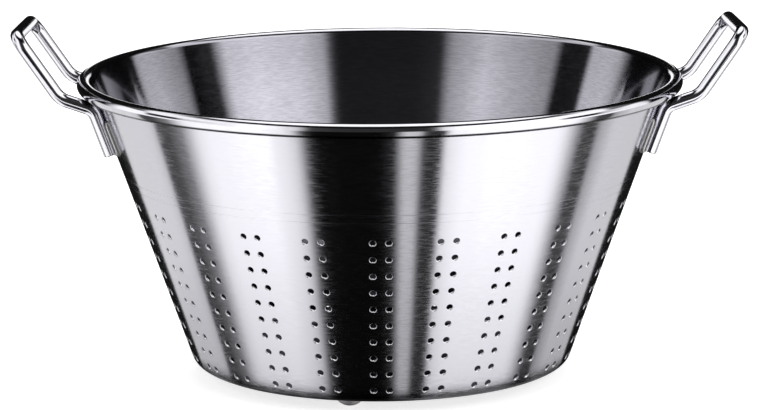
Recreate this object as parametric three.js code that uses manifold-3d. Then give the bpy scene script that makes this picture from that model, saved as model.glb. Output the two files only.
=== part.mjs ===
// Conical kitchen strainer: a drawn stainless bowl with a curled rim and punched
// drain holes, two bent-rod handles and three button feet, all welded on.
// Units are millimetres, +Z is up, and the feet stand on z = 0 with the bowl's axis on Z.
// The front is -Y, and the handles stand out along X.
import * as THREE from "three";
import { mergeGeometries, mergeVertices } from "three/addons/utils/BufferGeometryUtils.js";
import Module from "manifold-3d";

const wasm = await Module();
wasm.setup();

const { degToRad } = THREE.MathUtils;

// Bowl: one drawn sheet
const RIM_DIAMETER = 400; // over the curled bead
const BOWL_HEIGHT = 194.4; // underside of the base to the top of the bead
const BASE_DIAMETER = 249; // where the wall's outside would meet the base in a sharp corner
const SHEET = 1;
const CORNER_RADIUS = 10; // outside radius between wall and base
const BEAD_DIAMETER = 9.6;
const CURL_ANGLE = degToRad(308); // how far the edge is rolled round
const CORNER_STEPS = 2;
const CURL_STEPS = 6;

// Wall holes: groups of two parallel columns, each hole punched square to the wall
const HOLE_DIAMETER = 4.5;
const HOLE_SIDES = 4; // a square of the round hole's open area
const HOLE_GROUPS = 24;
const HOLE_ROWS = 10;
const ROW_PITCH = 12.2; // along the wall
const COLUMN_PITCH = 10.2;
const LOWEST_ROW = 9.3; // height of the lowest row above the underside of the base
const FACETS = 2 * HOLE_GROUPS; // one flat for each group and one between groups

// Base holes: rings about the axis
const BASE_RINGS = [
  { diameter: 70, count: 8 },
  { diameter: 150, count: 16 },
];

// Handles: round rod, bent and welded on by its two legs
const ROD_DIAMETER = 8.8;
const ROD_SIDES = 10;
const ROD_SPACING = 93; // between the centre lines of the two arms
const LEG_LENGTH = 32; // along the wall, from the cut end to the corner of the first bend
const STEP_ANGLE = degToRad(19); // rise of the run that passes under the bead
const STEP_LENGTH = 22.7;
const ARM_ANGLE = degToRad(55.7);
const ARM_LENGTH = 47.4; // to the middle of the grip
const GRIP_SKEW = 4; // how much further out the grip's front end stands than its rear end
const LEG_BEND_RADIUS = 9; // on the centre line, as are the next two
const ARM_BEND_RADIUS = 15;
const GRIP_BEND_RADIUS = 10;
const BEAD_CLEARANCE = 0.5; // between the rod and the underside of the bead

// Feet: solid buttons welded under the base
const FOOT_DIAMETER = 20;
const FOOT_HEIGHT = 6.3;
const FOOT_FLAT = 6; // diameter of the flat that touches the table
const FOOT_CIRCLE = 206; // diameter of the circle that the feet stand on
const FEET_TURN = degToRad(-11.5); // of the front foot, from straight ahead
const FOOT_NAMES = ["foot_front", "foot_rear_right", "foot_rear_left"];
const FOOT_SIDES = 12;
const FOOT_STEPS = 4;

// Welds: a bead round the end and sides of each leg, and a fillet round each foot
const WELD_RADIUS = 1.8;
const WELD_LENGTH = 22; // up each side of a leg from its cut end
const WELD_SIDES = 8;
const FOOT_WELD = 1.6; // leg of the fillet
const SEAT_GAP = 0.3; // between pieces that touch

const brushedSteel = new THREE.MeshStandardMaterial({ color: 0xc9c9ce, roughness: 0.35, metalness: 1 });
const polishedSteel = new THREE.MeshStandardMaterial({ color: 0xdcdce0, roughness: 0.15, metalness: 1 });
const weldSteel = new THREE.MeshStandardMaterial({ color: 0xb4b4b8, roughness: 0.45, metalness: 1 });

// Values that several pieces share
const baseRadius = BASE_DIAMETER / 2;
const beadRadius = BEAD_DIAMETER / 2;
const curlInside = beadRadius - SHEET;
const rodRadius = ROD_DIAMETER / 2;
const rodSeat = rodRadius + SEAT_GAP; // from the wall's outside to the rod's centre line
const beadCentre = new THREE.Vector2(RIM_DIAMETER / 2 - beadRadius, BOWL_HEIGHT - beadRadius);

// The wall leans so that its inside runs tangent into the curl.
const toBead = beadCentre.clone().sub(new THREE.Vector2(baseRadius, 0));
const wallLean = Math.atan2(toBead.x, toBead.y) - Math.asin(curlInside / toBead.length());

// Outside radius of the wall at a height above the underside of the base.
function wallRadius(height) {
  return baseRadius + height * Math.tan(wallLean);
}

// A closed geometry as a solid that can be joined and cut.
function solidOf(geometry) {
  const bare = geometry.clone();
  bare.deleteAttribute("normal");
  bare.deleteAttribute("uv");
  const merged = mergeVertices(bare);
  const vertProperties = merged.attributes.position.array;
  const triVerts = new Uint32Array(merged.index.array);
  return new wasm.Manifold(new wasm.Mesh({ numProp: 3, vertProperties, triVerts }));
}

function geometryOf(solid) {
  const { vertProperties, triVerts } = solid.getMesh();
  const geometry = new THREE.BufferGeometry();
  geometry.setAttribute("position", new THREE.BufferAttribute(vertProperties, 3));
  geometry.setIndex(new THREE.BufferAttribute(triVerts, 1));
  geometry.computeVertexNormals();
  return geometry;
}

function namedMesh(name, geometry, material) {
  const mesh = new THREE.Mesh(geometry, material);
  mesh.name = name;
  return mesh;
}

// Points on an arc, both ends included; angles are from the first axis.
function arcPoints(x, y, radius, from, to, steps) {
  return Array.from({ length: steps + 1 }, (_, i) => {
    const angle = from + ((to - from) * i) / steps;
    return new THREE.Vector2(x + radius * Math.cos(angle), y + radius * Math.sin(angle));
  });
}

function regularPolygon(radius, sides) {
  const half = Math.PI / sides;
  return new THREE.Shape(arcPoints(0, 0, radius, half, half + 2 * Math.PI, sides).slice(1));
}

// A solid of revolution about Z from points of (radius, height), listed up the outside.
function revolve(points, sides, start = 0) {
  return new THREE.LatheGeometry(points, sides, start).rotateX(Math.PI / 2);
}

// Section of the drawn sheet: up the outside, round the inside and outside of the curl
// and down the inside of the wall.
function bowlProfile() {
  const cornerX = wallRadius(CORNER_RADIUS) - CORNER_RADIUS / Math.cos(wallLean);
  const corner = (radius, from, to) => arcPoints(cornerX, CORNER_RADIUS, radius, from, to, CORNER_STEPS);
  const curlStart = Math.PI - wallLean;
  const curlEnd = curlStart - CURL_ANGLE;
  const curl = (radius, from, to) => arcPoints(beadCentre.x, beadCentre.y, radius, from, to, CURL_STEPS);
  return [
    new THREE.Vector2(0, 0),
    ...corner(CORNER_RADIUS, -Math.PI / 2, -wallLean),
    ...curl(curlInside, curlStart, curlEnd),
    ...curl(beadRadius, curlEnd, curlStart),
    ...corner(CORNER_RADIUS - SHEET, -wallLean, -Math.PI / 2),
    new THREE.Vector2(0, SHEET),
  ];
}

// A slim pointed punch along -Z through a sheet whose upper face is at z = 0, with the hole's
// open area there. Its taper is too slight to show in the sheet.
function punch() {
  const corner = (2 * Math.PI) / HOLE_SIDES;
  const reach = (HOLE_DIAMETER / 2) * Math.sqrt(corner / Math.sin(corner));
  const length = 60 * SHEET;
  const entry = 2 * SHEET;
  const cone = new THREE.ConeGeometry(reach * (length / (length - entry)), length, HOLE_SIDES);
  return cone.rotateX(-Math.PI / 2).rotateZ(corner / 2).translate(0, 0, entry - length / 2);
}

// Punches for every hole in the wall, each square to the flat that carries its group.
function wallPunches() {
  const punches = [];
  const flatShare = Math.cos(Math.PI / FACETS);
  const tilt = new THREE.Matrix4().makeRotationX(Math.PI / 2 + wallLean);
  for (let group = 0; group < HOLE_GROUPS; group++) {
    const turn = new THREE.Matrix4().makeRotationZ((group * 2 * Math.PI) / HOLE_GROUPS);
    for (let row = 0; row < HOLE_ROWS; row++) {
      const height = LOWEST_ROW + row * ROW_PITCH * Math.cos(wallLean);
      for (const x of [-COLUMN_PITCH / 2, COLUMN_PITCH / 2]) {
        const place = new THREE.Matrix4().makeTranslation(x, -wallRadius(height) * flatShare, height);
        punches.push(punch().applyMatrix4(turn.clone().multiply(place).multiply(tilt)));
      }
    }
  }
  return punches;
}

function basePunches() {
  return BASE_RINGS.flatMap(({ diameter, count }) =>
    Array.from({ length: count }, (_, i) => {
      const angle = (i * 2 * Math.PI) / count;
      const radius = diameter / 2;
      return punch().translate(radius * Math.sin(angle), -radius * Math.cos(angle), SHEET);
    }),
  );
}

function bowl() {
  const sheet = solidOf(revolve(bowlProfile(), FACETS, -Math.PI / FACETS));
  const holes = solidOf(mergeGeometries([...wallPunches(), ...basePunches()]));
  return namedMesh("bowl", geometryOf(sheet.subtract(holes)), brushedSteel);
}

// A path through fixed stations, so that a sweep has a ring exactly at each of them.
class StationPath extends THREE.Curve {
  constructor(stations) {
    super();
    this.stations = stations;
  }

  stationAt(u) {
    return Math.round(u * (this.stations.length - 1));
  }

  getPointAt(u, target = new THREE.Vector3()) {
    return target.copy(this.stations[this.stationAt(u)]);
  }

  getTangentAt(u, target = new THREE.Vector3()) {
    const index = this.stationAt(u);
    const here = this.stations[index];
    const before = this.stations[index - 1] ?? here;
    const after = this.stations[index + 1] ?? here;
    const arriving = here.clone().sub(before).normalize();
    const leaving = after.clone().sub(here).normalize();
    return target.addVectors(arriving, leaving).normalize();
  }
}

// Replaces each inner corner of a line of points by an arc of { radius, steps }.
function bendCorners(corners, bends) {
  const stations = [corners[0]];
  bends.forEach(({ radius, steps }, i) => {
    const corner = corners[i + 1];
    const arriving = corner.clone().sub(corners[i]).normalize();
    const leaving = corners[i + 2].clone().sub(corner).normalize();
    const angle = arriving.angleTo(leaving);
    const inward = leaving.clone().sub(arriving).normalize();
    const centre = corner.clone().addScaledVector(inward, radius / Math.cos(angle / 2));
    const start = corner.clone().addScaledVector(arriving, -radius * Math.tan(angle / 2));
    const spoke = start.sub(centre);
    const axis = arriving.clone().cross(leaving).normalize();
    for (let step = 0; step <= steps; step++) {
      stations.push(spoke.clone().applyAxisAngle(axis, (angle * step) / steps).add(centre));
    }
  });
  stations.push(corners[corners.length - 1]);
  return stations;
}

function rodAlong(stations, radius, sides) {
  const extrudePath = new StationPath(stations);
  return new THREE.ExtrudeGeometry(regularPolygon(radius, sides), { steps: stations.length - 1, extrudePath });
}

// Corners of the rod's centre line, from the front leg's end over the grip to the rear leg's
// end. Each leg lies against the wall in its own plane of y. Side is 1 for +X and -1 for -X.
function handleCorners(side) {
  const half = ROD_SPACING / 2;
  const standOff = rodSeat / Math.cos(wallLean);
  const legX = (height) => Math.sqrt((wallRadius(height) + standOff) ** 2 - half ** 2);
  const beadX = Math.sqrt(beadCentre.x ** 2 - half ** 2);
  const drop = (beadRadius + rodRadius + BEAD_CLEARANCE) / Math.cos(STEP_ANGLE);
  const stepHeight = (x) => beadCentre.y - drop + (x - beadX) * Math.tan(STEP_ANGLE);
  const onward = (from, angle, length) => {
    return new THREE.Vector2(from.x + length * Math.cos(angle), from.y + length * Math.sin(angle));
  };

  // The leg's line and the step's line cross at the first bend; a few passes find the place.
  let bendHeight = stepHeight(beadX);
  for (let pass = 0; pass < 12; pass++) {
    bendHeight = stepHeight(legX(bendHeight));
  }
  const endHeight = bendHeight - LEG_LENGTH * Math.cos(wallLean);
  const legEnd = new THREE.Vector2(legX(endHeight), endHeight);
  const legBend = new THREE.Vector2(legX(bendHeight), bendHeight);
  const armBend = onward(legBend, STEP_ANGLE, STEP_LENGTH);
  const run = (y, armLength) => {
    const points = [legEnd, legBend, armBend, onward(armBend, ARM_ANGLE, armLength)];
    return points.map((p) => new THREE.Vector3(side * p.x, y, p.y));
  };
  const front = run(-half, ARM_LENGTH + GRIP_SKEW / 2);
  const rear = run(half, ARM_LENGTH - GRIP_SKEW / 2);
  return [...front, ...rear.reverse()];
}

function handle(name, corners) {
  const legBend = { radius: LEG_BEND_RADIUS, steps: 3 };
  const armBend = { radius: ARM_BEND_RADIUS, steps: 3 };
  const gripBend = { radius: GRIP_BEND_RADIUS, steps: 5 };
  const bends = [legBend, armBend, gripBend, gripBend, armBend, legBend];
  return namedMesh(name, rodAlong(bendCorners(corners, bends), rodRadius, ROD_SIDES), polishedSteel);
}

// A weld bead in the groove between the wall and a leg: down one side, round the cut end and
// up the other side. It is made flat, with the wall below and the leg along +Y, then placed.
function legWeld(name, end, bend) {
  const sideX = rodRadius - WELD_RADIUS / 3;
  const endY = -WELD_RADIUS / 3;
  const at = (x, y) => new THREE.Vector3(x, y, SEAT_GAP);
  const corners = [at(sideX, WELD_LENGTH), at(sideX, endY), at(-sideX, endY), at(-sideX, WELD_LENGTH)];
  const turn = { radius: rodRadius / 2, steps: 2 };
  const bead = solidOf(rodAlong(bendCorners(corners, [turn, turn]), WELD_RADIUS, WELD_SIDES));
  const legAxis = [-SEAT_GAP, 2 * WELD_LENGTH].map((y) => new THREE.Vector3(0, y, rodSeat));
  const legRoom = solidOf(rodAlong(legAxis, rodSeat, ROD_SIDES));
  const wallSize = 4 * WELD_LENGTH;
  const wallRoom = new THREE.BoxGeometry(wallSize, wallSize, wallSize);
  wallRoom.translate(0, 0, SEAT_GAP - wallSize / 2);
  const fillet = bead.subtract(legRoom).subtract(solidOf(wallRoom));

  const along = bend.clone().sub(end).normalize();
  const outward = new THREE.Vector3(end.x, end.y, 0).projectOnPlane(along).normalize();
  const across = along.clone().cross(outward);
  const place = new THREE.Matrix4().makeBasis(across, along, outward);
  place.setPosition(end.clone().addScaledVector(outward, -rodSeat));
  return namedMesh(name, geometryOf(fillet).applyMatrix4(place), weldSteel);
}

// A button foot: a ball cap cut by a small flat, with its wide side up under the base.
function foot(name) {
  const radius = FOOT_DIAMETER / 2;
  const flat = FOOT_FLAT / 2;
  const height = FOOT_HEIGHT - SEAT_GAP;
  const ballCentre = (radius ** 2 + height ** 2 - flat ** 2) / (2 * height);
  const ballRadius = Math.hypot(flat, ballCentre);
  const flatAngle = Math.atan2(-ballCentre, flat);
  const rimAngle = Math.atan2(height - ballCentre, radius);
  const cap = arcPoints(0, ballCentre, ballRadius, flatAngle, rimAngle, FOOT_STEPS);
  const profile = [new THREE.Vector2(0, 0), ...cap, new THREE.Vector2(0, height)];
  return namedMesh(name, revolve(profile, FOOT_SIDES), polishedSteel);
}

// A fillet ring in the corner between a foot's edge and the base.
function footWeld(name) {
  const inner = FOOT_DIAMETER / 2 + SEAT_GAP;
  const top = FOOT_HEIGHT - SEAT_GAP;
  const toe = new THREE.Vector2(inner, top - FOOT_WELD);
  const profile = [toe, new THREE.Vector2(inner + FOOT_WELD, top), new THREE.Vector2(inner, top), toe];
  return namedMesh(name, revolve(profile, FOOT_SIDES), weldSteel);
}

// A handle with its two leg welds.
function handleSet(name, side) {
  const set = new THREE.Group();
  const corners = handleCorners(side);
  const [rearBend, rearEnd] = corners.slice(-2);
  set.add(handle(`handle_${name}`, corners));
  set.add(legWeld(`weld_${name}_front`, corners[0], corners[1]));
  set.add(legWeld(`weld_${name}_rear`, rearEnd, rearBend));
  return set;
}

const vessel = new THREE.Group();
vessel.position.z = FOOT_HEIGHT;
vessel.add(bowl());
vessel.add(handleSet("right", 1));
vessel.add(handleSet("left", -1));

const strainer = new THREE.Group();
strainer.add(vessel);
FOOT_NAMES.forEach((name, i) => {
  const stand = new THREE.Group();
  const angle = FEET_TURN + (i * 2 * Math.PI) / FOOT_NAMES.length;
  stand.position.set((FOOT_CIRCLE / 2) * Math.sin(angle), (-FOOT_CIRCLE / 2) * Math.cos(angle), 0);
  stand.add(foot(name));
  stand.add(footWeld(`${name}_weld`));
  strainer.add(stand);
});

export default strainer;
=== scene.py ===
"""Looks of a large conical stainless strainer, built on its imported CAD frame.

Lengths are in metres, +Z is up, the bowl's axis is Z, the front is -Y and the handles stand out
along X. An angle round the axis is measured from the front towards +X.
"""
import math

import bpy
import numpy as np
from mathutils import Matrix


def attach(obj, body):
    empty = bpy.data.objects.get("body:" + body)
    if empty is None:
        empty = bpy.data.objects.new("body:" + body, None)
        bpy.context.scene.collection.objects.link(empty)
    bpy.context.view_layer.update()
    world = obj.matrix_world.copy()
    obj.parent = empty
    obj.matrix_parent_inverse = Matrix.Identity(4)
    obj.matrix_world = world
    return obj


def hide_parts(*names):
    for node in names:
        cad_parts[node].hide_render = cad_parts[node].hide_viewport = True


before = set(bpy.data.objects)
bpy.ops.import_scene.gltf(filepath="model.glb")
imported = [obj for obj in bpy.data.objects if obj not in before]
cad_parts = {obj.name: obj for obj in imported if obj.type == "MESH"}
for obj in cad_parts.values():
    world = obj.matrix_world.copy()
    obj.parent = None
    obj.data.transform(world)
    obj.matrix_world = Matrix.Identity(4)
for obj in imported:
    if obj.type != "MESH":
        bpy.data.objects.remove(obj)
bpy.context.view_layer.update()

MM = 0.001
TURN = 2 * math.pi

# Bowl, as in the part's source
RIM_RADIUS = 200 * MM
BOWL_HEIGHT = 194.4 * MM
BASE_RADIUS = 124.5 * MM  # of the sharp corner between base and wall
SHEET = 1 * MM
CORNER_RADIUS = 10 * MM
BEAD_RADIUS = 4.8 * MM
CURL_ANGLE = math.radians(308)
FOOT_HEIGHT = 6.3 * MM

# Punched holes
HOLE_RADIUS = 1.9 * MM  # throat of a hole, which its edge widens to 4.8 mm across
HOLE_GROUPS = 24
HOLE_ROWS = 10
ROW_PITCH = 12.2 * MM
COLUMN_OFFSET = 5.1 * MM  # of a column from the middle of its group
LOWEST_ROW = 9.3 * MM
PUNCH_ROUND = 0.5 * MM  # edge that the punch draws in
BASE_RINGS = ((35 * MM, 8), (75 * MM, 16))  # radius of the ring and number of holes
RING_HALF = 15 * MM  # half the width of base that a ring of holes takes

# Handles
ROD_RADIUS = 4.4 * MM
ROD_SPACING = 93 * MM
LEG_LENGTH = 32 * MM
STEP_ANGLE = math.radians(19)
STEP_LENGTH = 22.7 * MM
ARM_ANGLE = math.radians(55.7)
ARM_LENGTH = 47.4 * MM
GRIP_SKEW = 4 * MM  # by which the front arm is longer than the rear one
BEND_RADII = (9 * MM, 15 * MM, 10 * MM)  # leg, arm and grip
BEAD_CLEARANCE = 0.5 * MM
SEAT_GAP = 0.3 * MM
END_CHAMFER = 0.6 * MM
SETTLING_PASSES = 12  # of the height at which a leg meets its step

# Feet
FOOT_NAMES = ("foot_front", "foot_rear_right", "foot_rear_left")
FOOT_RADIUS = 10 * MM
FOOT_FLAT = 3 * MM
FOOT_CIRCLE = 103 * MM
FEET_TURN = math.radians(-11.5)

# Welds; a swell is the share of the radius between ripples, and what a ripple adds to it
RIPPLE = 1.5 * MM  # from one ripple of a weld to the next
WELD_RADIUS = 1.8 * MM
WELD_LENGTH = 22 * MM
WELD_SET = WELD_RADIUS / 3  # of a weld's middle, inside the rod's side and beyond its end
WELD_TAPER = 3 * MM  # over which a weld runs out to a point
WELD_UNDER = 0.3  # share of its radius at which a weld is cut flat below its middle
WELD_SWELL = (0.95, 0.07)
FOOT_WELD = 1.6 * MM
FOOT_SWELL = (0.92, 0.1)
FILLET_HOLLOW = 0.85  # share of a quarter circle in a fillet's section, the rest being straight

# Material slots of the bowl
OUTSIDE, BEAD, EDGE, INSIDE = range(4)

# Mesh fineness, in steps
CELL_STEPS = 6  # along the top of a hole's cell
ROUND_STEPS = 2 * HOLE_GROUPS * CELL_STEPS  # round the whole bowl
CORNER_STEPS = 10  # round the base corner
CONE_STEPS = 8  # up the plain wall above the holes
CURL_STEPS = 20  # round the bead's hidden side
BEAD_STEPS = 40  # round the bead's outside
BEND_STEPS = 14  # along a bend
ROD_STEPS = 32  # round the rod
WELD_RUN_STEPS = 239  # along a leg's weld
WELD_STEPS = 16  # round a leg's weld
FOOT_STEPS = 64  # round a foot
CAP_STEPS = 14  # up the side of a foot
FILLET_RUN_STEPS = 192  # round a foot's weld
FILLET_STEPS = 6  # across a foot's weld
MERGE = 0.001 * MM  # side of the cells of space in which corners become one vertex
MERGE_SHIFT = 0.37  # of a cell, so that round lengths don't fall between two cells

# Shared geometry of the bowl's section, as (radius, height above the underside of the base)
bead_centre = np.array([RIM_RADIUS - BEAD_RADIUS, BOWL_HEIGHT - BEAD_RADIUS])
curl_inside = BEAD_RADIUS - SHEET
to_bead = bead_centre - [BASE_RADIUS, 0]
LEAN = math.atan2(to_bead[0], to_bead[1]) - math.asin(curl_inside / np.hypot(*to_bead))
corner_centre = BASE_RADIUS + CORNER_RADIUS * math.tan(LEAN) - CORNER_RADIUS / math.cos(LEAN)
corner_end = CORNER_RADIUS * math.tan(math.pi / 4 - LEAN / 2)  # along the wall, to the corner's arc


def about_axis(radius, angle, height):
    """Points, or vectors, round Z: x = radius sin(angle), y = -radius cos(angle), z = height."""
    parts = np.broadcast_arrays(radius * np.sin(angle), -radius * np.cos(angle), height)
    return np.stack(parts, axis=-1)


def on_wall(angle, along, depth):
    """Points on the conical wall: along is measured up the outside from the sharp base corner, and
    depth goes into the sheet along the inward normal."""
    radius = BASE_RADIUS + along * math.sin(LEAN) - depth * math.cos(LEAN)
    return about_axis(radius, angle, FOOT_HEIGHT + along * math.cos(LEAN) + depth * math.sin(LEAN))


def on_base(angle, along, depth):
    """Points on the flat base: along is the radius, and depth goes up into the sheet."""
    return about_axis(along, angle, FOOT_HEIGHT + depth)


def patch(points, normals, along, material=0):
    """A stack of grids (..., rows, columns) of points with their normals. The second texture
    coordinate is the distance along the section, and the first is left at zero."""
    along = np.broadcast_to(along, points.shape[:-1])
    uv = np.stack([np.zeros_like(along), along], axis=-1)
    return points, np.broadcast_to(normals, points.shape), uv, material


def face_corners(grid):
    """The four corners of every face of a stack of grids, in the order that makes the normal the
    cross product of the column direction with the row direction."""
    low, high = grid[..., :-1, :, :], grid[..., 1:, :, :]
    quads = [low[..., :-1, :], low[..., 1:, :], high[..., 1:, :], high[..., :-1, :]]
    return np.stack(quads, axis=-2).reshape(-1, 4, grid.shape[-1])


def make_piece(name, patches, materials, node, own_normals=True):
    """One mesh from patches. Corners that share a place become one vertex, so the patches close
    along their edges, and a face with two equal corners becomes a triangle."""
    points, normals, uv = (
        np.concatenate([face_corners(p[part]) for p in patches]) for part in range(3)
    )
    material = np.concatenate([np.full(len(face_corners(p[0])), p[3]) for p in patches])
    flat = points.reshape(-1, 3)
    cells = np.floor(flat / MERGE + MERGE_SHIFT)
    _, first, index = np.unique(cells, axis=0, return_index=True, return_inverse=True)
    index = index.reshape(-1, 4)
    keep = index != np.roll(index, -1, axis=1)
    whole = keep.sum(axis=1) > 2
    keep[~whole] = False
    sizes = keep.sum(axis=1)[whole]
    starts = np.concatenate([[0], np.cumsum(sizes)[:-1]])
    mesh = bpy.data.meshes.new(name)
    mesh.vertices.add(len(first))
    mesh.vertices.foreach_set("co", flat[first].ravel())
    mesh.loops.add(int(sizes.sum()))
    mesh.loops.foreach_set("vertex_index", index[keep].astype(np.int32))
    mesh.polygons.add(len(sizes))
    mesh.polygons.foreach_set("loop_start", starts.astype(np.int32))
    mesh.polygons.foreach_set("material_index", material[whole].astype(np.int32))
    mesh.update(calc_edges=True)
    mesh.shade_smooth()
    mesh.uv_layers.new(name="section").uv.foreach_set("vector", uv[keep].ravel())
    if own_normals:
        mesh.normals_split_custom_set(normals[keep].tolist())
    for finish in materials:
        mesh.materials.append(finish)
    piece = bpy.data.objects.new(name, mesh)
    bpy.context.scene.collection.objects.link(piece)
    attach(piece, "root")
    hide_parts(node)


def revolved(section, normals, start, material=0, steps=ROUND_STEPS):
    """A section of (radius, height) points turned about Z. Each point has its own normal, also as
    (radius, height)."""
    section, normals = np.asarray(section), np.asarray(normals)
    angle = np.linspace(0, TURN, steps + 1)
    points = about_axis(section[:, :1], angle, section[:, 1:])
    facing = about_axis(normals[:, :1], angle, normals[:, 1:])
    run = np.hypot(*np.diff(section, axis=0).T)
    along = start + np.concatenate([[0], np.cumsum(run)])
    return patch(points, facing, along[:, None], material)


def arc_section(centre, radius, start, end, steps, outward=1):
    """Points and normals of an arc in the section: centre + radius (cos a, sin a)."""
    angle = np.linspace(start, end, steps + 1)
    spoke = np.stack([np.cos(angle), np.sin(angle)], axis=-1)
    return centre + radius * spoke, outward * spoke


def cell_rim(steps):
    """A walk round the unit square, anticlockwise from the middle of its right side, with as many
    steps along top and bottom as asked for and two up each side."""
    run = np.linspace(1, 0, steps + 1)
    across = np.concatenate([[1], run, [0], run[::-1], [1]])
    up = np.concatenate([[0.5], np.ones(steps + 1), [0.5], np.zeros(steps + 1), [0.5]])
    return across, up


def punched_cells(place, facing, angles, alongs, hole_angle, hole_along, steps):
    """Cells of sheet with a round hole each. A cell is a fan of faces between its edge and the
    hole's edge on the outside, the edge drawn in by the punch, the hole's own wall, and the same
    fan on the inside. place(angle, along, depth) gives points, and facing(angle) the outward normal
    and the two directions in the sheet. Arrays of cells come with their low and high edges last."""
    across, up = cell_rim(steps)
    turn = np.linspace(0, TURN, len(across))
    edge_angle = angles[..., :1] + (angles[..., 1:] - angles[..., :1]) * across
    edge_along = alongs[..., :1] + (alongs[..., 1:] - alongs[..., :1]) * up
    hole_angle, hole_along = hole_angle[..., None], hole_along[..., None]
    middle = place(hole_angle, hole_along, 0.0)
    reach = np.hypot(middle[..., 0], middle[..., 1])

    def ring(radius, depth):
        """A circle round each hole's middle: radius cos(turn) round the bowl, which divided by the
        reach from the axis is an angle, and radius sin(turn) along the sheet."""
        angle = hole_angle + radius * np.cos(turn) / reach
        return angle, place(angle, hole_along + radius * np.sin(turn), depth)

    def band(first, second, material):
        """Faces between two loops, each given as its points, normals and places along."""
        points, normals = (
            np.stack(np.broadcast_arrays(a, b), axis=-3) for a, b in zip(first[:2], second[:2])
        )
        along = np.stack(np.broadcast_arrays(first[2], second[2]), axis=-2)
        return patch(points, normals, along, material)

    lip_angle, lip = ring(HOLE_RADIUS + PUNCH_ROUND, 0.0)
    wall_angle, wall_top = ring(HOLE_RADIUS, PUNCH_ROUND)
    _, wall_end = ring(HOLE_RADIUS, SHEET)
    outer_edge = place(edge_angle, edge_along, 0.0)
    inner_edge = place(edge_angle, edge_along, SHEET)
    edge_normal = facing(edge_angle)[0]
    lip_normal, around, upward = facing(wall_angle)
    hole_normal = -(np.cos(turn)[:, None] * around + np.sin(turn)[:, None] * upward)
    hole_run = hole_along + HOLE_RADIUS * np.sin(turn)
    return [
        band((outer_edge, edge_normal, edge_along), (lip, facing(lip_angle)[0], hole_run), OUTSIDE),
        band((lip, lip_normal, hole_run), (wall_top, hole_normal, hole_run), EDGE),
        band((wall_top, hole_normal, hole_run), (wall_end, hole_normal, hole_run), EDGE),
        band((wall_end, -lip_normal, hole_run), (inner_edge, -edge_normal, edge_along), INSIDE),
    ]


def wall_facing(angle):
    """Outward normal of the wall, cos(lean) out and sin(lean) down, the direction round the wall,
    and the direction up it, sin(lean) out and cos(lean) up."""
    zero = np.zeros_like(angle)
    normal = about_axis(math.cos(LEAN), angle, zero - math.sin(LEAN))
    around = about_axis(1, angle + math.pi / 2, zero)
    upward = about_axis(math.sin(LEAN), angle, zero + math.cos(LEAN))
    return normal, around, upward


def base_facing(angle):
    """Outward normal of the base, which is down, the direction round it and the direction out."""
    zero = np.zeros_like(angle)
    normal = about_axis(zero, angle, zero - 1)
    around = about_axis(1, angle + math.pi / 2, zero)
    outward = about_axis(1, angle, zero)
    return normal, around, outward


def base_patches():
    """The flat base: plain rings between rings of cells with one hole each."""
    patches = []
    plain = [0.0]
    for ring, count in BASE_RINGS:
        width = TURN / count
        centre = np.arange(count) * width
        angles = centre[:, None] + [-width / 2, width / 2]
        alongs = np.broadcast_to([ring - RING_HALF, ring + RING_HALF], angles.shape)
        middles = np.full(count, ring)
        steps = ROUND_STEPS // count
        patches += punched_cells(on_base, base_facing, angles, alongs, centre, middles, steps)
        plain += [ring - RING_HALF, ring + RING_HALF]
    plain.append(corner_centre)
    for low, high in zip(plain[::2], plain[1::2]):
        outer, inner = FOOT_HEIGHT, FOOT_HEIGHT + SHEET
        patches.append(revolved([(low, outer), (high, outer)], [(0, -1)] * 2, low))
        patches.append(revolved([(high, inner), (low, inner)], [(0, 1)] * 2, low, INSIDE))
    return patches


def wall_patches():
    """The conical wall: rows of cells with one hole each, two cells to a group, and the plain cone
    above them. A column keeps its distance from the middle of its group, so its angle from there
    is arcsin(distance / radius), and the bare wall between groups widens upwards."""
    rows = LOWEST_ROW / math.cos(LEAN) + ROW_PITCH * np.arange(HOLE_ROWS)
    edges = np.concatenate([[corner_end], (rows[:-1] + rows[1:]) / 2, [rows[-1] + ROW_PITCH / 2]])
    group = (np.arange(HOLE_GROUPS) * TURN / HOLE_GROUPS)[:, None, None]
    side = np.array([-1, 1])[None, :, None]
    half = TURN / HOLE_GROUPS / 2
    shape = (HOLE_GROUPS, 2, HOLE_ROWS)
    along = np.broadcast_to(rows, shape)
    hole_angle = group + side * np.arcsin(COLUMN_OFFSET / (BASE_RADIUS + along * math.sin(LEAN)))
    low = np.broadcast_to(group + np.minimum(side, 0) * half, shape)
    angles = np.stack([low, low + half], axis=-1)
    alongs = np.broadcast_to(np.stack([edges[:-1], edges[1:]], axis=-1), shape + (2,))
    patches = punched_cells(on_wall, wall_facing, angles, alongs, hole_angle, along, CELL_STEPS)
    # The plain cone runs up to where the curl begins, square to the bead's centre.
    top = np.dot(to_bead, [math.sin(LEAN), math.cos(LEAN)])
    angle = np.linspace(0, TURN, ROUND_STEPS + 1)
    run = np.linspace(edges[-1], top, CONE_STEPS + 1)[:, None]
    normal = wall_facing(angle)[0]
    patches.append(patch(on_wall(angle, run, 0.0), normal, run))
    patches.append(patch(on_wall(angle, run[::-1], SHEET), -normal, run[::-1], INSIDE))
    return patches


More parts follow.
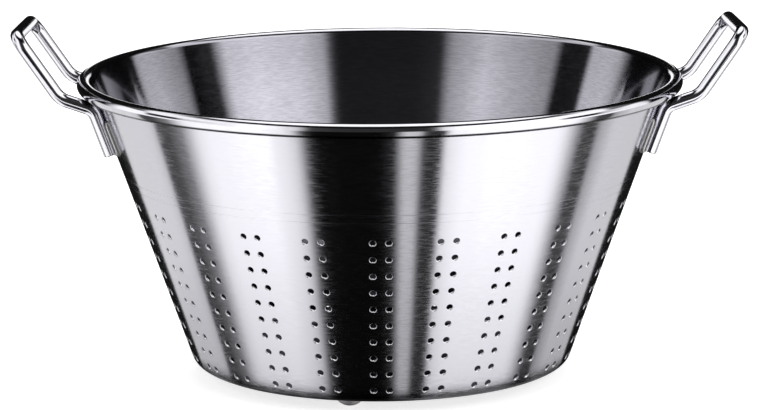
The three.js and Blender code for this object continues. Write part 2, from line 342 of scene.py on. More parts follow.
def bowl():
    """The drawn sheet: base, rounded corner, punched wall and rolled bead, outside and inside. The
    corner and the bead are arcs of the section, and the bead ends in the sheet's cut edge."""
    lift = np.array([0, FOOT_HEIGHT])
    corner = np.array([corner_centre, CORNER_RADIUS]) + lift
    outer = arc_section(corner, CORNER_RADIUS, -math.pi / 2, -LEAN, CORNER_STEPS)
    inner = arc_section(corner, CORNER_RADIUS - SHEET, -LEAN, -math.pi / 2, CORNER_STEPS, -1)
    curl_start = math.pi - LEAN
    curl_end = curl_start - CURL_ANGLE
    hidden = arc_section(bead_centre + lift, curl_inside, curl_start, curl_end, CURL_STEPS, -1)
    bead = arc_section(bead_centre + lift, BEAD_RADIUS, curl_end, curl_start, BEAD_STEPS)
    cut = np.stack([hidden[0][-1], bead[0][0]])
    cut_normal = [(math.sin(curl_end), -math.cos(curl_end))] * 2
    patches = base_patches() + wall_patches() + [
        revolved(*outer, corner_centre),
        revolved(*inner, corner_centre, INSIDE),
        revolved(*hidden, 0.0, BEAD),
        revolved(cut, cut_normal, 0.0, EDGE),
        revolved(*bead, 0.0, BEAD),
    ]
    finishes = [brushed_outside, burnished_bead, punched_edge, satin_inside]
    make_piece("strainer_bowl", patches, finishes, "bowl")


def unit(vectors):
    """Vectors divided by their lengths."""
    return vectors / np.linalg.norm(vectors, axis=-1, keepdims=True)


def distances(line):
    """How far along a line of points each point is: the sum of the runs before it."""
    return np.concatenate([[0], np.cumsum(np.linalg.norm(np.diff(line, axis=0), axis=-1))])


def bent_line(corners, radii):
    """Straight runs with each inner corner bent to an arc: the arc's centre lies on the bisector,
    and its points are centre + radius (sin t forward - cos t inward), with t across the bend."""
    before, here, after = corners[:-2], corners[1:-1], corners[2:]
    arriving, leaving = unit(here - before), unit(after - here)
    bend = np.arccos(np.sum(arriving * leaving, axis=-1))[:, None]
    inward, forward = unit(leaving - arriving), unit(leaving + arriving)
    radii = np.asarray(radii)[:, None]
    centre = here + inward * radii / np.cos(bend / 2)
    t = bend * np.linspace(-0.5, 0.5, BEND_STEPS + 1)
    arc = -np.cos(t)[..., None] * inward[:, None] + np.sin(t)[..., None] * forward[:, None]
    points = centre[:, None] + radii[..., None] * arc
    return np.concatenate([corners[:1], points.reshape(-1, 3), corners[-1:]])


def directions(line):
    """Unit tangents of a line of points, each the mean of the runs before and after it."""
    runs = unit(np.diff(line, axis=0))
    return unit(np.concatenate([runs[:1], runs]) + np.concatenate([runs, runs[-1:]]))


def swept_frames(line, reference):
    """Two unit vectors across a line at each point: the reference direction with the part along
    the line taken out, and the cross product of the line's direction with it."""
    tangent = directions(line)
    first = unit(reference - np.sum(tangent * reference, axis=-1, keepdims=True) * tangent)
    return first, np.cross(tangent, first)


def handle_corners(side):
    """Corners of a handle's centre line, from the front leg's end over the grip to the rear leg's:
    the leg lies on the wall, the step passes under the bead and the arm rises to the grip."""
    half = ROD_SPACING / 2
    stand_off = (ROD_RADIUS + SEAT_GAP) / math.cos(LEAN)

    def leg_x(height):
        """Distance of a leg from the plane between the handles, at a height: on a circle round the
        axis that lies a stand-off outside the wall, at half the rods' spacing from its middle."""
        return math.sqrt((BASE_RADIUS + height * math.tan(LEAN) + stand_off) ** 2 - half**2)

    # The step's line passes under the bead's centre line with the clearance, and meets the leg.
    bead_x = math.sqrt(bead_centre[0] ** 2 - half**2)
    drop = (BEAD_RADIUS + ROD_RADIUS + BEAD_CLEARANCE) / math.cos(STEP_ANGLE)
    height = bead_centre[1] - drop
    for _ in range(SETTLING_PASSES):
        height = bead_centre[1] - drop + (leg_x(height) - bead_x) * math.tan(STEP_ANGLE)
    low = height - LEG_LENGTH * math.cos(LEAN)
    step = np.array([math.cos(STEP_ANGLE), math.sin(STEP_ANGLE)]) * STEP_LENGTH
    arm = np.array([math.cos(ARM_ANGLE), math.sin(ARM_ANGLE)])
    leg_bend = np.array([leg_x(height), height])
    arm_bend = leg_bend + step

    def run(y, arm_length):
        """The four corners of the front or the rear half, from the leg's end to the grip."""
        points = np.array([[leg_x(low), low], leg_bend, arm_bend, arm_bend + arm * arm_length])
        return np.stack([side * points[:, 0], np.full(4, y), points[:, 1] + FOOT_HEIGHT], axis=-1)

    front = run(-half, ARM_LENGTH + GRIP_SKEW / 2)
    rear = run(half, ARM_LENGTH - GRIP_SKEW / 2)
    return np.concatenate([front, rear[::-1]])


def loop_handle(name, side):
    """A round rod along the bent line, with its two cut ends slightly rounded off."""
    line = bent_line(handle_corners(side), BEND_RADII + BEND_RADII[::-1])
    tangent = directions(line)
    near = line[:1] + tangent[:1] * END_CHAMFER
    far = line[-1:] - tangent[-1:] * END_CHAMFER
    body = np.concatenate([near, line[1:-1], far])
    # The direction square to the grip's plane is never along the rod.
    reference = np.array([side * math.sin(ARM_ANGLE), 0, -math.cos(ARM_ANGLE)])
    turn = np.linspace(0, TURN, ROD_STEPS + 1)[None, :, None]

    def rings(points, radius, first, second):
        """Circles round points, and their spokes: cos(turn) first + sin(turn) second."""
        spoke = np.cos(turn) * first[:, None] + np.sin(turn) * second[:, None]
        return points[:, None] + radius * spoke, spoke

    first, second = swept_frames(line, reference)
    skin, facing = rings(body, ROD_RADIUS, first, second)
    patches = [patch(skin, facing, distances(body)[:, None])]
    inset = ROD_RADIUS - END_CHAMFER
    for end, ring, sign in ((line[0], 0, -1), (line[-1], -1, 1)):
        rim, _ = rings(end[None], inset, first[ring][None], second[ring][None])
        face = sign * tangent[ring]
        flat = np.stack([np.broadcast_to(end, rim[0].shape), rim[0]])
        rounded = np.stack([rim[0], skin[ring]])
        turned = np.stack([np.broadcast_to(face, rim[0].shape), facing[ring]])
        order = slice(None, None, -sign)
        patches.append(patch(flat[order], face, 0.0))
        patches.append(patch(rounded[order], turned[order], 0.0))
    make_piece(f"loop_handle_{name}", patches, [polished_rod], f"handle_{name}")


def leg_weld(name, end, bend):
    """A weld bead round a leg's end and up both sides: a round tube, cut flat below, whose radius
    swells with each ripple, as the size of a sine, and runs out to a point at its two ends, as a
    square root."""
    along = unit(bend - end)
    outward = unit(np.array([end[0], end[1], 0]) - along * np.dot(along, [end[0], end[1], 0]))
    across = np.cross(along, outward)
    side = ROD_RADIUS - WELD_SET
    flat = np.array(
        [[side, WELD_LENGTH], [side, -WELD_SET], [-side, -WELD_SET], [-side, WELD_LENGTH]]
    )
    seat = end - outward * ROD_RADIUS
    corners = seat + flat[:, :1] * across + flat[:, 1:] * along
    coarse = bent_line(corners, [ROD_RADIUS / 2] * 2)
    length = distances(coarse)
    run = np.linspace(0, length[-1], WELD_RUN_STEPS + 1)
    line = np.stack([np.interp(run, length, axis) for axis in coarse.T], axis=-1)
    taper = np.sqrt(np.clip(np.minimum(run, length[-1] - run) / WELD_TAPER, 0, 1))
    least, gain = WELD_SWELL
    radius = WELD_RADIUS * taper * (least + gain * np.abs(np.sin(math.pi * run / RIPPLE)))
    turn = np.linspace(0, TURN, WELD_STEPS + 1)
    first, second = swept_frames(line, outward)
    rise = np.maximum(np.cos(turn), -WELD_UNDER)[None, :, None] * first[:, None]
    spread = np.sin(turn)[None, :, None] * second[:, None]
    points = line[:, None] + radius[:, None, None] * (rise + spread)
    patches = [patch(points, 0.0, run[:, None])]
    make_piece(
        f"leg_weld_{name}", patches, [weld_metal], f"weld_{name}", own_normals=False
    )


def foot_place(index):
    """Where a foot stands: the feet are spread evenly round their circle."""
    angle = FEET_TURN + index * TURN / len(FOOT_NAMES)
    return about_axis(FOOT_CIRCLE, angle, 0.0)


def button_foot(name, index):
    """A ball cap with a small flat to stand on: the cap's centre is on the foot's axis, at the
    height where the cap passes through the edges of the flat and of the top."""
    height = FOOT_HEIGHT - SEAT_GAP
    centre = (FOOT_RADIUS**2 + height**2 - FOOT_FLAT**2) / (2 * height)
    ball = math.hypot(FOOT_FLAT, centre)
    start, end = math.atan2(-centre, FOOT_FLAT), math.atan2(height - centre, FOOT_RADIUS)
    cap = arc_section(np.array([0, centre]), ball, start, end, CAP_STEPS)
    sole = [(0, 0), (FOOT_FLAT, 0)], [(0, -1)] * 2
    top = [(FOOT_RADIUS, height), (0, height)], [(0, 1)] * 2
    turned = [revolved(*part, 0.0, steps=FOOT_STEPS) for part in (sole, cap, top)]
    patches = [(points + foot_place(index), *rest) for points, *rest in turned]
    make_piece(f"button_{name}", patches, [polished_button], name)


def foot_weld(name, index):
    """A fillet in the corner between a foot and the base: a ring whose section is a quarter hollow,
    flattened by a share of the straight line between its ends, and whose width swells with each
    ripple, as the size of a sine."""
    angle = np.linspace(0, TURN, FILLET_RUN_STEPS + 1)
    count = round(TURN * FOOT_RADIUS / RIPPLE)
    least, gain = FOOT_SWELL
    width = FOOT_WELD * (least + gain * np.abs(np.sin(count * angle / 2)))
    share = np.linspace(0, 1, FILLET_STEPS + 1)[:, None]
    bow, straight = share * math.pi / 2, 1 - FILLET_HOLLOW
    radius = FOOT_RADIUS + width * (1 - FILLET_HOLLOW * np.cos(bow) - straight * (1 - share))
    height = FOOT_HEIGHT - width * (1 - FILLET_HOLLOW * np.sin(bow) - straight * share)
    inner, top = np.full_like(angle, FOOT_RADIUS), np.full_like(angle, FOOT_HEIGHT)
    section_r = np.concatenate([radius, [inner, inner]])
    section_z = np.concatenate([height, [top, height[0]]])
    points = about_axis(section_r, angle, section_z) + foot_place(index)
    patches = [patch(points, 0.0, section_z)]
    make_piece(
        f"{name}_fillet", patches, [weld_metal], f"{name}_weld", own_normals=False
    )


# Brushing of the sheet, and the shade painted low on the inside
BRUSH_LINE = 0.7 * MM  # real lines are about 0.1 mm apart; drawn coarser, so that they show
BRUSH_NOISE = (0.32, 0.68)  # levels of the noise that are the darkest and the lightest lines
BRUSH_BUMP, BRUSH_DEPTH = 0.05, 0.02 * MM
BRUSH_AND_SHADE_HEIGHT = 200 * MM
BRUSH_AND_SHADE_REACH = [  # share of the brushed colour against height, as a share of the height above; the rest is plain sheet on the outside and painted shade on the inside
    (0.038, 1.0), (0.056, 0.0), (0.22, 0.05), (0.38, 0.4), (0.62, 1.0), (0.8, 1.0), (0.93, 0.84),
]
UPWARD = (0, 0, 1.5)  # added to the outward direction; only what lies in the sheet counts
MARK_HALF, MARK_ROUGHNESS = 0.3 * MM, 0.3

# Finish of the bead, and the shade painted into its crease, along its section from the cut edge
BEAD_PATCH = 6 * MM
BEAD_CREASE_SHADE = (9.0 * MM, 9.9 * MM)  # the dark line in the crease ends between these
BEAD_INNER = (22.8 * MM, 24.2 * MM)  # the bead goes over to the dull inside between these
BEAD_ROUGHNESS = (0.06, 0.1)

# Polished pieces
HAZE_SWING = 0.3  # share by which roughness varies to both sides
WELD_BUMP = 0.3


def linear(colour):
    """Linear RGBA of an sRGB hex value such as '#c8c8cc'."""
    share = np.array([int(colour[i:i + 2], 16) for i in (1, 3, 5)]) / 255
    value = np.where(share <= 0.04045, share / 12.92, ((share + 0.055) / 1.055) ** 2.4)
    return (*value, 1.0)


def node(tree, kind, inputs=None, **settings):
    """Adds a node with its settings. Inputs are known by name or number, and each is given a value
    or the socket to link from."""
    made = tree.nodes.new(kind)
    for key, value in settings.items():
        setattr(made, key, value)
    for key, value in (inputs or {}).items():
        if isinstance(value, bpy.types.NodeSocket):
            tree.links.new(value, made.inputs[key])
        else:
            made.inputs[key].default_value = value
    return made


def set_stops(ramp, levels):
    """Fills a colour ramp with greys, from a list of (position, level)."""
    stops = ramp.color_ramp.elements
    while len(stops) < len(levels):
        stops.new(1.0)
    for stop, (position, level) in zip(stops, levels):
        stop.position = position
        stop.color = (level, level, level, 1.0)


def bare_metal(name):
    """A metal without a finish, its nodes and its shader."""
    finish = bpy.data.materials.new(name)
    finish.use_nodes = True
    shader = finish.node_tree.nodes["Principled BSDF"]
    shader.inputs["Metallic"].default_value = 1.0
    return finish, finish.node_tree, shader


def make_brushed_sheet(name, dark, light, unbrushed_and_shade, smooth, rough, spread, strokes, marks=()):
    """Stainless sheet, spun and brushed round the axis. The fine rings spread a reflection up and
    down the wall but hardly sideways, so the studio shows as upright bands. Noise in rings, which
    are a brush line high and have so many strokes to a turn, goes from dark to light and from
    smooth to rough. The brush hardly reaches the base corner and the foot of the wall, and not
    fully the rim, so on the outside the colour there goes over to that of sheet without brush
    lines; on the inside the same places are painted darker, as painted shade, darkest low down.
    Marks are rings of rougher sheet."""
    finish, tree, shader = bare_metal(name)
    shader.inputs["Anisotropic"].default_value = spread
    place = node(tree, "ShaderNodeTexCoord").outputs["Object"]
    level = node(tree, "ShaderNodeVectorMath", {0: place, 1: (1, 1, 0)}, operation="MULTIPLY")
    outward = node(tree, "ShaderNodeVectorMath", {0: level.outputs[0]}, operation="NORMALIZE")
    # The rougher direction runs up the section: outwards on the base, up the slope on the wall.
    upward = node(
        tree, "ShaderNodeVectorMath", {0: outward.outputs[0], 1: UPWARD}, operation="ADD"
    )
    tree.links.new(upward.outputs[0], shader.inputs["Tangent"])

    section = node(tree, "ShaderNodeUVMap", uv_map="section").outputs[0]
    along = node(tree, "ShaderNodeSeparateXYZ", {0: section}).outputs[1]
    stacked = node(tree, "ShaderNodeCombineXYZ", {2: along}).outputs[0]
    lines = node(tree, "ShaderNodeVectorMath", {0: stacked, 3: 1 / BRUSH_LINE}, operation="SCALE")
    wrapped = node(
        tree, "ShaderNodeVectorMath", {0: outward.outputs[0], 3: strokes / TURN}, operation="SCALE"
    )
    where = node(
        tree, "ShaderNodeVectorMath", {0: lines.outputs[0], 1: wrapped.outputs[0]}, operation="ADD"
    )
    noise = node(
        tree, "ShaderNodeTexNoise", {"Vector": where.outputs[0], "Scale": 1.0, "Detail": 2.0}
    )
    darkest, lightest = BRUSH_NOISE
    fine = node(
        tree, "ShaderNodeMapRange", {0: noise.outputs[0], 1: darkest, 2: lightest}
    ).outputs[0]

    steel = node(
        tree, "ShaderNodeMix", {0: fine, 6: linear(dark), 7: linear(light)}, data_type="RGBA"
    ).outputs[2]
    height = node(tree, "ShaderNodeSeparateXYZ", {0: place}).outputs[2]
    share = node(tree, "ShaderNodeMapRange", {0: height, 2: BRUSH_AND_SHADE_HEIGHT}).outputs[0]
    reach = node(tree, "ShaderNodeValToRGB", {0: share})
    set_stops(reach, BRUSH_AND_SHADE_REACH)
    # Painted shade on the inside: low on the wall, and a little at the rim, the colour goes over to
    # the dark second colour.
    colour = node(
        tree, "ShaderNodeMix", {0: reach.outputs[0], 6: linear(unbrushed_and_shade), 7: steel},
        data_type="RGBA",
    )
    tree.links.new(colour.outputs[2], shader.inputs["Base Color"])

    haze = node(tree, "ShaderNodeMapRange", {0: fine, 3: smooth, 4: rough}).outputs[0]
    for at in marks:
        mark = node(tree, "ShaderNodeMath", {0: along, 1: at, 2: MARK_HALF}, operation="COMPARE")
        haze = node(
            tree, "ShaderNodeMix", {0: mark.outputs[0], 2: haze, 3: MARK_ROUGHNESS}
        ).outputs[0]
    tree.links.new(haze, shader.inputs["Roughness"])
    bump = node(
        tree, "ShaderNodeBump", {"Strength": BRUSH_BUMP, "Distance": BRUSH_DEPTH, "Height": fine}
    )
    tree.links.new(bump.outputs[0], shader.inputs["Normal"])
    return finish


def make_burnished_bead():
    """Sheet rolled over a former and buffed, so the bead reflects clearly. The section starts at
    the cut edge, and the first 9 mm of it, round to the underside, are painted darker as a shade
    line in the crease under the bead. The last 2 mm, on the inner side, are as dull as the inside."""
    finish, tree, shader = bare_metal("burnished_stainless_bead")
    place = node(tree, "ShaderNodeTexCoord").outputs["Object"]
    haze = node(
        tree, "ShaderNodeTexNoise", {"Vector": place, "Scale": 1 / BEAD_PATCH, "Detail": 3.0}
    ).outputs[0]
    section = node(tree, "ShaderNodeUVMap", uv_map="section").outputs[0]
    along = node(tree, "ShaderNodeSeparateXYZ", {0: section}).outputs[1]
    unshaded_bead, dull = (
        node(tree, "ShaderNodeMapRange", {0: along, 1: start, 2: end}).outputs[0]
        for start, end in (BEAD_CREASE_SHADE, BEAD_INNER)
    )
    colour = linear("#d2d1d8")
    for share, tone in ((haze, "#e3e2e8"), (dull, "#9e9da5")):
        colour = node(
            tree, "ShaderNodeMix", {0: share, 6: colour, 7: linear(tone)}, data_type="RGBA"
        ).outputs[2]
    # Painted shade: near the cut edge, round to the underside, the bead is painted near black as
    # the shade in its crease.
    colour = node(
        tree, "ShaderNodeMix", {0: unshaded_bead, 6: linear("#222122"), 7: colour}, data_type="RGBA"
    ).outputs[2]
    tree.links.new(colour, shader.inputs["Base Color"])
    smooth, rough = BEAD_ROUGHNESS
    roughness = node(tree, "ShaderNodeMapRange", {0: haze, 3: smooth, 4: rough}).outputs[0]
    tree.links.new(roughness, shader.inputs["Roughness"])
    return finish


def make_polished(name, roughness, dark, light, patch_size, bump_depth=0.0):
    """Polished stainless: a reflection with a faint haze, which varies over patches of a size in
    colour, roughness and, where a depth is given, height."""
    finish, tree, shader = bare_metal(name)
    place = node(tree, "ShaderNodeTexCoord").outputs["Object"]
    haze = node(
        tree, "ShaderNodeTexNoise", {"Vector": place, "Scale": 1 / patch_size, "Detail": 3.0}
    ).outputs[0]
    colour = node(
        tree, "ShaderNodeMix", {0: haze, 6: linear(dark), 7: linear(light)}, data_type="RGBA"
    )
    tree.links.new(colour.outputs[2], shader.inputs["Base Color"])
    smooth, rough = roughness * (1 - HAZE_SWING), roughness * (1 + HAZE_SWING)
    varied = node(tree, "ShaderNodeMapRange", {0: haze, 3: smooth, 4: rough})
    tree.links.new(varied.outputs[0], shader.inputs["Roughness"])
    if bump_depth:
        bump = node(
            tree, "ShaderNodeBump", {"Strength": WELD_BUMP, "Distance": bump_depth, "Height": haze}
        )
        tree.links.new(bump.outputs[0], shader.inputs["Normal"])
    return finish


# The outside shows bright, fine rings. The two marks are just above the holes, where the wall was
# reworked.
brushed_outside = make_brushed_sheet(
    "brushed_stainless_outside", dark="#d2d1d8", light="#dad9e0", unbrushed_and_shade="#d5d4db",
    smooth=0.1, rough=0.27, spread=1.0, strokes=140, marks=(134 * MM, 139.7 * MM),
)
# The inside is left duller than the outside, and is painted darkest low down on the wall, as
# painted shade.
satin_inside = make_brushed_sheet(
    "satin_stainless_inside", dark="#908f97", light="#a3a2aa", unbrushed_and_shade="#343337",
    smooth=0.08, rough=0.12, spread=0.8, strokes=180,
)
burnished_bead = make_burnished_bead()
# Sheared by the punch, so the hole's wall is bare and glints.
punched_edge = make_polished(
    "sheared_stainless_edge", roughness=0.16, dark="#d4d3d9", light="#e6e5ea", patch_size=0.8 * MM
)
# Drawn rod, buffed after bending, so it has sharp white and dark stripes.
polished_rod = make_polished(
    "buffed_stainless_rod", roughness=0.12, dark="#d0cfd6", light="#e0dfe5", patch_size=5 * MM
)
# Turned buttons, buffed but scuffed by worktops, so they show only a soft shine.
polished_button = make_polished(
    "buffed_stainless_button", roughness=0.5, dark="#d4d3d9", light="#e6e5ea", patch_size=2 * MM
)
# Weld metal, wire-brushed clean, which looks greyer and dull between its ripples.
weld_metal = make_polished(
    "wire_brushed_weld", roughness=0.38, dark="#9c9a98", light="#c6c5c4", patch_size=0.9 * MM,
    bump_depth=0.05 * MM,
)

bowl()
for name, side in (("left", -1), ("right", 1)):
    loop_handle(name, side)
    corners = handle_corners(side)
    leg_weld(f"{name}_front", corners[0], corners[1])
    leg_weld(f"{name}_rear", corners[-1], corners[-2])
for index, name in enumerate(FOOT_NAMES):
    button_foot(name, index)
    foot_weld(name, index)


# Camera, fitted to the rim, the wall and the hole rows of the photograph
CAMERA_RISE = 0.19738  # radians above level
CAMERA_DISTANCE = 2.5124
CAMERA_AIM = 0.1112  # height of the point on the axis that it is aimed at
CAMERA_ROLL = -0.00634
SENSOR_WIDTH = 36.0
PHOTO_WIDTH = 760  # pixels, as are the next two
FOCAL_LENGTH = 3773
PHOTO_SHIFT = (-0.56, -0.36)

# Studio: tall white panels to both sides of the camera with the dark behind it between them, dark
# gaps beside the panels, dimmer panels further round and a dark set at the sides. Each row of
# panels is a list of (bearing in degrees, brightness). The low row shows in the outside of the
# wall, the middle and high rows in its inside, and the top row only in the bead.
LOW_PANELS = [
    (-90, 0.01), (-69.6, 0.01),  # dark set
    (-68.6, 0.9), (-55, 0.92), (-52, 0.82),  # dim panel
    (-50.9, 0.08), (-47.6, 0.08), (-43.6, 0.28),  # gap
    (-39.2, 1.2), (-36.1, 1.4), (-24, 1.45), (-18.8, 1.2), (-16.8, 0.95),  # white panel
    (-14.5, 0.05), (-13, 0.004), (0, 0.004), (3, 0.02),  # the dark behind the camera
    (4.7, 0.8), (7.3, 0.75),  # grey strip
    (8.5, 0.05), (12.1, 0.02),  # slit
    (13.1, 1.2), (17.7, 1.5), (37.5, 1.48), (39.6, 1.3),  # white panel
    (44.8, 0.07), (48.6, 0.06),  # gap
    (49.8, 0.5), (55, 0.85), (68.6, 0.8),  # dim panel
    (69.6, 0.01), (90, 0.01),  # dark set
]
MAIN_PANELS = [
    (-29, 1.25), (-23.3, 1.65), (-15.6, 0.9),  # white panel
    (-13.2, 0.06), (-8, 0.035), (9, 0.03), (10.3, 0.15),  # the dark behind the camera
    (12, 1.1), (17.5, 1.8), (27.2, 2.1), (34, 1.8),  # white panel
]
LEFT_PANEL = [(-90, 0.0), (-63.8, 0.0), (-62.8, 0.75), (-56.4, 1.4)]
LEFT_GAP = [(-50, 1.35), (-48.6, 0.03), (-41.4, 0.01), (-39.3, 0.75)]
RIGHT_GAP = [(37.5, 0.03), (44.3, 0.0), (46.6, 0.7)]
RIGHT_PANEL = [(54.4, 1.25), (60.6, 1.2), (61.6, 0.0), (90, 0.0)]
MIDDLE_PANELS = LEFT_PANEL + MAIN_PANELS + RIGHT_PANEL
HIGH_PANELS = LEFT_PANEL + LEFT_GAP + MAIN_PANELS + RIGHT_GAP + RIGHT_PANEL
TOP_PANELS = [
    (-90, 0.0), (-76, 0.0), (-74, 0.75), (-62, 0.8), (-60, 0.15), (-51, 0.15), (-49, 1.3),
    *MAIN_PANELS,
    (47, 1.4), (49, 0.2), (58, 0.2), (60, 0.8), (74, 0.7), (76, 0.0), (90, 0.0),
]

# Where one part of the room goes over to the next, as limits of a direction's z, or y at the rear
LOW_TO_MIDDLE = (-0.12, 0.0)
MIDDLE_TO_HIGH = (0.08, 0.18)
HIGH_TO_TOP = (0.42, 0.5)
TOP_TO_CEILING = (0.7, 0.82)
FRONT_TO_REAR = (0.45, 0.6)
# Where the panels stand again behind the strainer, as limits of y, z and the size of x
REAR_PANELS = ((0.2, 0.35), (-0.5, -0.58), (0.42, 0.32))
# The soft panel over the strainer, 18 degrees behind upright, with limits of the cosine from there
OVERHEAD = (0, 0.309, 0.951)
OVERHEAD_EDGE = (0.89, 0.92)
OVERHEAD_WHITE = (1.5, 1.5, 1.5, 1.0)
DARK_SET = (0.006, 0.006, 0.006, 1.0)
WHITE = (1.0, 1.0, 1.0, 1.0)
MIRROR_LINE = 0.98  # cosine of the camera's rise

# Floor
FLOOR_HALF = 5.0
FLOOR_GLOW = 0.68
SHADE_REACH = (120 * MM, 320 * MM)  # radii between which the strainer's shade is drawn
SHADE = [  # what it leaves of the room, against the share of the way between those radii
    (0.0, 0.32), (0.012, 0.14), (0.03, 0.06), (0.08, 0.1), (0.1, 0.7), (0.2, 0.72), (0.45, 0.82),
    (0.7, 0.96), (1.0, 1.0),
]
UNDER_REACH = (122 * MM, 112 * MM)  # radii between which the light under the base comes up
UNDER_LIGHT = 0.03

CARD_WATTS = 3.7  # per square metre, which makes a card as bright as white paper


def panel_row(tree, bearing, panels):
    """Brightness of a row of panels against bearing, which is 0 at -90 degrees and 1 at 90."""
    ramp = node(tree, "ShaderNodeValToRGB", {0: bearing})
    set_stops(ramp, [(degrees / 180 + 0.5, level) for degrees, level in panels])
    return ramp.outputs[0]


def studio_world():
    """The room that the metal reflects; the camera itself sees plain white. The panels are set out
    by bearing = arctan(x / (0.98 - y)) of a direction, which is the angle round the axis of the
    place on the wall that mirrors the direction to the camera, so that each panel shows as one
    upright band. Low down behind the strainer they stand again, mirrored in y, for the rear of the
    wall."""
    world = bpy.data.worlds.new("studio")
    bpy.context.scene.world = world
    world.use_nodes = True
    tree = world.node_tree
    tree.nodes.clear()
    heading = node(tree, "ShaderNodeTexCoord").outputs["Generated"]
    x, y, z = node(tree, "ShaderNodeSeparateXYZ", {0: heading}).outputs
    sideways = node(tree, "ShaderNodeMath", {0: x}, operation="ABSOLUTE").outputs[0]
    rear = 1.0
    for value, (start, end) in zip((y, z, sideways), REAR_PANELS):
        part = node(
            tree, "ShaderNodeMapRange", {0: value, 1: start, 2: end},
            interpolation_type="SMOOTHSTEP",
        ).outputs[0]
        rear = node(tree, "ShaderNodeMath", {0: part, 1: rear}, operation="MULTIPLY").outputs[0]
    # The sign of y goes from -1 to 1 where the panels stand mirrored.
    sign = node(tree, "ShaderNodeMath", {0: rear, 1: 2.0, 2: -1.0}, operation="MULTIPLY_ADD")
    front = node(
        tree, "ShaderNodeMath", {0: y, 1: sign.outputs[0], 2: MIRROR_LINE},
        operation="MULTIPLY_ADD",
    )
    angle = node(tree, "ShaderNodeMath", {0: x, 1: front.outputs[0]}, operation="ARCTAN2")
    bearing = node(
        tree, "ShaderNodeMath", {0: angle.outputs[0], 1: 1 / math.pi, 2: 0.5},
        operation="MULTIPLY_ADD",
    ).outputs[0]

    def blend(value, limits, below, above):
        """One part of the room below a value and another above it, going over smoothly."""
        start, end = limits
        share = node(
            tree, "ShaderNodeMapRange", {0: value, 1: start, 2: end},
            interpolation_type="SMOOTHSTEP",
        ).outputs[0]
        return node(
            tree, "ShaderNodeMix", {0: share, 6: below, 7: above}, data_type="RGBA"
        ).outputs[2]

    low, middle, high, top = (
        panel_row(tree, bearing, panels)
        for panels in (LOW_PANELS, MIDDLE_PANELS, HIGH_PANELS, TOP_PANELS)
    )
    room = blend(z, MIDDLE_TO_HIGH, middle, high)
    room = blend(z, HIGH_TO_TOP, room, top)
    room = blend(y, FRONT_TO_REAR, room, DARK_SET)  # the set behind the strainer
    room = blend(z, LOW_TO_MIDDLE, low, room)
    # The ceiling is dark, apart from a soft panel over the strainer and a little behind it.
    room = blend(z, TOP_TO_CEILING, room, DARK_SET)
    cosine = node(tree, "ShaderNodeVectorMath", {0: heading, 1: OVERHEAD}, operation="DOT_PRODUCT")
    room = blend(cosine.outputs["Value"], OVERHEAD_EDGE, room, OVERHEAD_WHITE)
    seen = node(tree, "ShaderNodeLightPath").outputs["Is Camera Ray"]
    colour = node(tree, "ShaderNodeMix", {0: seen, 6: room, 7: WHITE}, data_type="RGBA").outputs[2]
    background = node(tree, "ShaderNodeBackground", {0: colour, 1: 1.0})
    node(tree, "ShaderNodeOutputWorld", {0: background.outputs[0]})


def pale_floor():
    """A white floor that keeps the strainer's shadow and can be looked through from below. In the
    metal it shows only as the shade that the strainer casts, darkest at the base, and as a faint
    light under the base."""
    half = FLOOR_HALF
    mesh = bpy.data.meshes.new("studio_floor")
    corners = [(-half, -half, 0), (half, -half, 0), (half, half, 0), (-half, half, 0)]
    mesh.from_pydata(corners, [], [(0, 1, 2, 3)])
    floor = bpy.data.objects.new("studio_floor", mesh)
    bpy.context.scene.collection.objects.link(floor)
    finish = bpy.data.materials.new("matt_white_paper")
    finish.use_nodes = True
    tree = finish.node_tree
    tree.nodes.clear()
    path = node(tree, "ShaderNodeLightPath").outputs
    surface = node(tree, "ShaderNodeNewGeometry").outputs

    # As the camera sees it, and as it lights the strainer
    paper = node(tree, "ShaderNodeBsdfDiffuse", {0: linear("#e6e6e6")}).outputs[0]
    glow = node(tree, "ShaderNodeEmission", {0: WHITE, 1: FLOOR_GLOW}).outputs[0]
    lit = node(tree, "ShaderNodeAddShader", {0: paper, 1: glow}).outputs[0]
    seen = node(
        tree, "ShaderNodeMixShader", {0: path["Is Camera Ray"], 1: paper, 2: lit}
    ).outputs[0]

    # As the metal sees it
    out = node(
        tree, "ShaderNodeVectorMath", {0: surface["Position"]}, operation="LENGTH"
    ).outputs["Value"]
    start, end = SHADE_REACH
    share = node(tree, "ShaderNodeMapRange", {0: out, 1: start, 2: end}).outputs[0]
    ramp = node(tree, "ShaderNodeValToRGB", {0: share})
    set_stops(ramp, SHADE)
    shade = node(tree, "ShaderNodeBsdfTransparent", {0: ramp.outputs[0]}).outputs[0]
    start, end = UNDER_REACH
    under = node(tree, "ShaderNodeMapRange", {0: out, 1: start, 2: end, 4: UNDER_LIGHT}).outputs[0]
    faint = node(tree, "ShaderNodeEmission", {0: WHITE, 1: under}).outputs[0]
    shade = node(tree, "ShaderNodeAddShader", {0: shade, 1: faint}).outputs[0]

    mirrored = node(
        tree, "ShaderNodeMixShader", {0: path["Is Glossy Ray"], 1: seen, 2: shade}
    ).outputs[0]
    clear = node(tree, "ShaderNodeBsdfTransparent").outputs[0]
    shown = node(
        tree, "ShaderNodeMixShader", {0: surface["Backfacing"], 1: mirrored, 2: clear}
    ).outputs[0]
    node(tree, "ShaderNodeOutputMaterial", {0: shown})
    mesh.materials.append(finish)


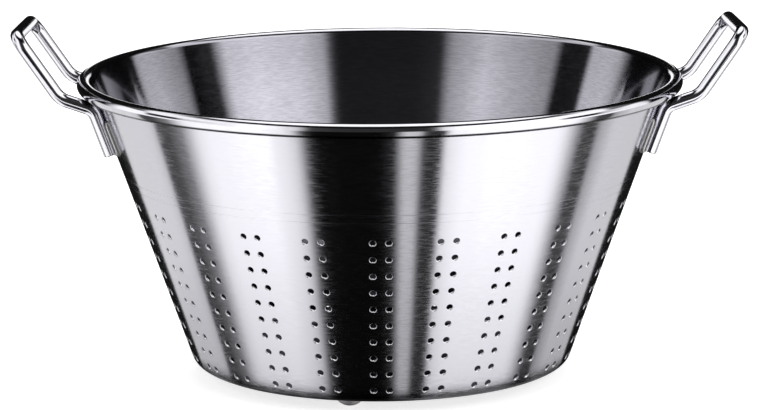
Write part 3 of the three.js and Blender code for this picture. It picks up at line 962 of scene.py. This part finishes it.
def area_lamp(name, place, width, height, watts):
    """A rectangular lamp that the camera doesn't see, shining down until it is turned."""
    data = bpy.data.lights.new(name, "AREA")
    data.shape = "RECTANGLE"
    data.size, data.size_y = width, height
    data.energy = watts
    lamp = bpy.data.objects.new(name, data)
    lamp.location = place
    lamp.visible_camera = False
    bpy.context.scene.collection.objects.link(lamp)
    return lamp


def overhead_softbox(place, width, watts):
    """A square lamp that points at the foot of the axis and isn't mirrored in the metal."""
    lamp = area_lamp("overhead_softbox", place, width, width, watts)
    lamp.rotation_euler = (-lamp.location).to_track_quat("-Z", "Y").to_euler()
    lamp.visible_glossy = False


def handle_card(name, place, width, height):
    """A small lit card in front of a handle or behind it, facing the handle, which shows as a white
    stripe along the rod. All cards are equally bright, so the watts go with the area."""
    card = area_lamp(name, place, width, height, CARD_WATTS * width * height)
    card.rotation_euler = (math.copysign(math.pi / 2, -place[1]), 0, 0)


def photo_camera():
    """The photograph's view: 11.3 degrees above level from 2.5 m, with a slight roll."""
    data = bpy.data.cameras.new("photo_camera")
    data.sensor_width = SENSOR_WIDTH
    data.lens = SENSOR_WIDTH * FOCAL_LENGTH / PHOTO_WIDTH
    data.shift_x, data.shift_y = (shift / PHOTO_WIDTH for shift in PHOTO_SHIFT)
    camera = bpy.data.objects.new("photo_camera", data)
    level, rise = CAMERA_DISTANCE * math.cos(CAMERA_RISE), CAMERA_DISTANCE * math.sin(CAMERA_RISE)
    camera.location = (0, -level, CAMERA_AIM + rise)
    tilt = Matrix.Rotation(math.pi / 2 - CAMERA_RISE, 3, "X")
    roll = Matrix.Rotation(CAMERA_ROLL, 3, "Z")
    camera.rotation_euler = (tilt @ roll).to_euler()
    bpy.context.scene.collection.objects.link(camera)
    bpy.context.scene.camera = camera


studio_world()
pale_floor()
overhead_softbox(place=(0.0, 0.3, 2.2), width=1.8, watts=30)
for name, side in (("left", -1), ("right", 1)):
    handle_card(f"card_{name}_front", place=(side * 0.3, -0.3, 0.08), width=0.19, height=0.08)
    handle_card(f"card_{name}_rear", place=(side * 0.18, 0.3, 0.205), width=0.1, height=0.07)
photo_camera()
bpy.context.scene.view_settings.view_transform = "Standard"
